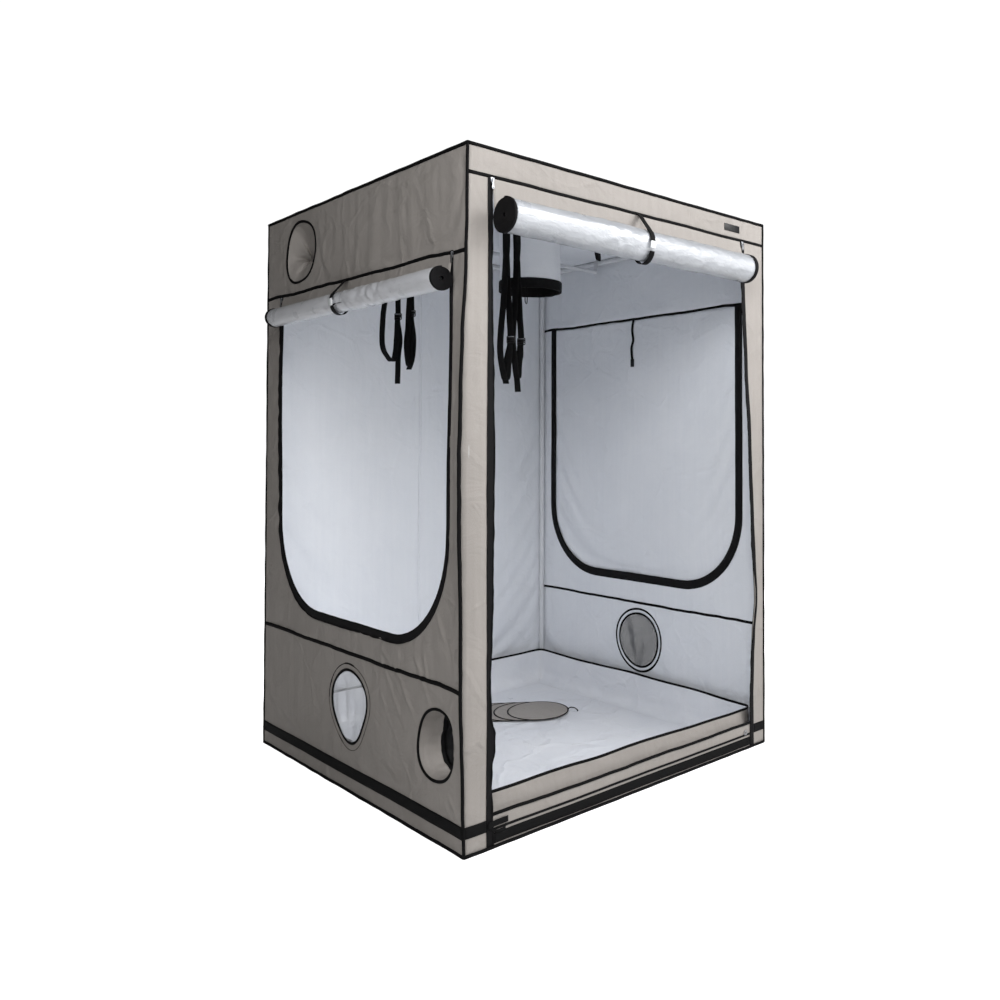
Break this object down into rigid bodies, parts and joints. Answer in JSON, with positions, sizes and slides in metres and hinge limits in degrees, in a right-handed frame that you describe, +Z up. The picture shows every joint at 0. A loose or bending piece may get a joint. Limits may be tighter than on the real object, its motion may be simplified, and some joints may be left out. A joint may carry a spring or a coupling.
{
  "type": "indoor grow tent",
  "caption": "Fabric grow tent on a tube frame, with roll-up front and side doors, duct sleeves, mesh vents, zips, crossbars with hanging belts and a spill tray.",
  "frame": {"origin": "centre of the base's underside, on the ground", "axes": "+X to the right along the front, +Y to the back, +Z up"},
  "size_m": [1.6048, 1.6382, 2.1996],
  "materials": {
    "greige_fabric": "matte",
    "white_lining": "satin",
    "black_binding": "matte",
    "white_enamel": "satin",
    "black_webbing": "matte",
    "zinc": "satin",
    "vent_mesh": "matte"
  },
  "bodies": {
    "tent": {"post_front_left": "white_enamel", "post_front_right": "white_enamel", "post_back_left": "white_enamel", "post_back_right": "white_enamel", "bottom_rail_front": "white_enamel", "bottom_rail_back": "white_enamel", "bottom_rail_left": "white_enamel", "bottom_rail_right": "white_enamel", "top_rail_front": "white_enamel", "top_rail_back": "white_enamel", "top_rail_left": "white_enamel", "top_rail_right": "white_enamel", "corner_front_left_bottom": "white_enamel", "corner_front_left_top": "white_enamel", "corner_front_right_bottom": "white_enamel", "corner_front_right_top": "white_enamel", "corner_back_left_bottom": "white_enamel", "corner_back_left_top": "white_enamel", "corner_back_right_bottom": "white_enamel", "corner_back_right_top": "white_enamel", "roof_panel": "greige_fabric", "back_panel": "greige_fabric", "left_wall": "greige_fabric", "right_wall": "greige_fabric", "front_panel": "greige_fabric", "base_floor": "greige_fabric", "front_door_curtain": "greige_fabric", "left_door_curtain": "greige_fabric", "upper_duct_sock": "greige_fabric", "lower_duct_sock": "greige_fabric", "spill_tray": "white_lining", "roof_duct_sock": "white_lining", "edge_piping": "black_binding", "left_vent_mesh": "vent_mesh", "right_vent_mesh": "vent_mesh"},
    "front_door": {"front_door_roll": "white_lining"},
    "left_door": {"left_door_roll": "white_lining"},
    "right_door": {"right_door": "greige_fabric"},
    "vent_covers": {"vent_cover_bottom": "greige_fabric", "vent_cover_lower": "greige_fabric", "vent_cover_upper": "greige_fabric", "vent_cover_top": "greige_fabric"},
    "crossbar_front": {"crossbar_front": "white_enamel"},
    "crossbar_back": {"crossbar_back": "white_enamel"},
    "hanging_belt_front_left": {"hanging_belt_front_left": "black_webbing"},
    "hanging_belt_front_right": {"hanging_belt_front_right": "black_webbing"},
    "hanging_belt_back_left": {"hanging_belt_back_left": "black_webbing"},
    "hanging_belt_back_right": {"hanging_belt_back_right": "black_webbing"},
    "front_strap_outer": {"front_strap_outer": "black_webbing"},
    "front_strap_inner": {"front_strap_inner": "black_webbing"},
    "left_strap_outer": {"left_strap_outer": "black_webbing"},
    "left_strap_inner": {"left_strap_inner": "black_webbing"},
    "right_strap_outer": {"right_strap_outer": "black_webbing"},
    "right_strap_inner": {"right_strap_inner": "black_webbing"},
    "front_zip_slider_left": {"front_zip_slider_left": "zinc"},
    "front_zip_slider_right": {"front_zip_slider_right": "zinc"},
    "left_zip_slider_front": {"left_zip_slider_front": "zinc"},
    "left_zip_slider_back": {"left_zip_slider_back": "zinc"},
    "right_zip_slider_front": {"right_zip_slider_front": "zinc"},
    "right_zip_slider_back": {"right_zip_slider_back": "zinc"}
  },
  "joints": [
    {"name": "front_door_unroll", "type": "slide", "parent": "tent", "child": "front_door", "axis": [0, 0, -1], "range_m": [0, 1.84], "deforming": ["front_door_curtain", "front_strap_outer", "front_strap_inner"]},
    {"name": "left_door_unroll", "type": "slide", "parent": "tent", "child": "left_door", "axis": [0, 0, -1], "range_m": [0, 1.12], "deforming": ["left_door_curtain", "left_strap_outer", "left_strap_inner"]},
    {"name": "front_zip_left", "type": "slide", "parent": "tent", "child": "front_zip_slider_left", "axis": [0.0024, 0, -1], "range_m": [0, 1.93]},
    {"name": "front_zip_right", "type": "slide", "parent": "tent", "child": "front_zip_slider_right", "axis": [0.0244, 0, -0.9997], "range_m": [0, 1.93]},
    {"name": "left_zip_front", "type": "slide", "parent": "tent", "child": "left_zip_slider_front", "axis": [0, 0, -1], "range_m": [0, 0.87]},
    {"name": "left_zip_back", "type": "slide", "parent": "tent", "child": "left_zip_slider_back", "axis": [0, 0, -1], "range_m": [0, 0.87]},
    {"name": "right_zip_front", "type": "slide", "parent": "tent", "child": "right_zip_slider_front", "axis": [0, -1, 0], "range_m": [0, 0.27]},
    {"name": "right_zip_back", "type": "slide", "parent": "tent", "child": "right_zip_slider_back", "axis": [0, 1, 0], "range_m": [0, 0.27]},
    {"name": "crossbar_front_slide", "type": "slide", "parent": "tent", "child": "crossbar_front", "axis": [0, 1, 0], "range_m": [-0.15, 0.1]},
    {"name": "crossbar_back_slide", "type": "slide", "parent": "tent", "child": "crossbar_back", "axis": [0, 1, 0], "range_m": [-0.09, 0.03]},
    {"name": "hanging_belt_front_left_swing", "type": "hinge", "parent": "crossbar_front", "child": "hanging_belt_front_left", "pos_m": [-0.268, -0.29, 2.1309], "axis": [1, 0, 0], "range_deg": [-12, 12]},
    {"name": "hanging_belt_front_right_swing", "type": "hinge", "parent": "crossbar_front", "child": "hanging_belt_front_right", "pos_m": [-0.205, -0.29, 2.1309], "axis": [1, 0, 0], "range_deg": [-12, 12]},
    {"name": "hanging_belt_back_left_swing", "type": "hinge", "parent": "crossbar_back", "child": "hanging_belt_back_left", "pos_m": [-0.4, 0.28, 2.1309], "axis": [1, 0, 0], "range_deg": [-12, 12]},
    {"name": "hanging_belt_back_right_swing", "type": "hinge", "parent": "crossbar_back", "child": "hanging_belt_back_right", "pos_m": [-0.34, 0.28, 2.1309], "axis": [1, 0, 0], "range_deg": [-12, 12]},
    {"name": "front_strap_outer_swing", "type": "hinge", "parent": "tent", "child": "front_strap_outer", "pos_m": [-0.03, -0.74665, 2.105], "axis": [-1, 0, 0], "range_deg": [0, 70]},
    {"name": "front_strap_inner_swing", "type": "hinge", "parent": "tent", "child": "front_strap_inner", "pos_m": [-0.03, -0.74335, 2.105], "axis": [1, 0, 0], "range_deg": [0, 60]},
    {"name": "left_strap_outer_swing", "type": "hinge", "parent": "tent", "child": "left_strap_outer", "pos_m": [-0.74665, 0.02, 1.87], "axis": [0, 1, 0], "range_deg": [0, 70]},
    {"name": "left_strap_inner_swing", "type": "hinge", "parent": "tent", "child": "left_strap_inner", "pos_m": [-0.74335, 0.02, 1.87], "axis": [0, -1, 0], "range_deg": [0, 60]},
    {"name": "right_door_swing", "type": "hinge", "parent": "tent", "child": "right_door", "pos_m": [0.745, 0.016, 1.87], "axis": [0, -1, 0], "range_deg": [0, 70]},
    {"name": "right_strap_outer_swing", "type": "hinge", "parent": "right_door", "child": "right_strap_outer", "pos_m": [0.7499, 0.035, 1.868], "axis": [0, -1, 0], "range_deg": [0, 60]},
    {"name": "right_strap_inner_swing", "type": "hinge", "parent": "tent", "child": "right_strap_inner", "pos_m": [0.7401, 0.035, 1.87], "axis": [0, 1, 0], "range_deg": [0, 60]},
    {"name": "vent_covers_lift", "type": "slide", "parent": "tent", "child": "vent_covers", "axis": [0, 0, 1], "range_m": [0, 0.3]}
  ]
}
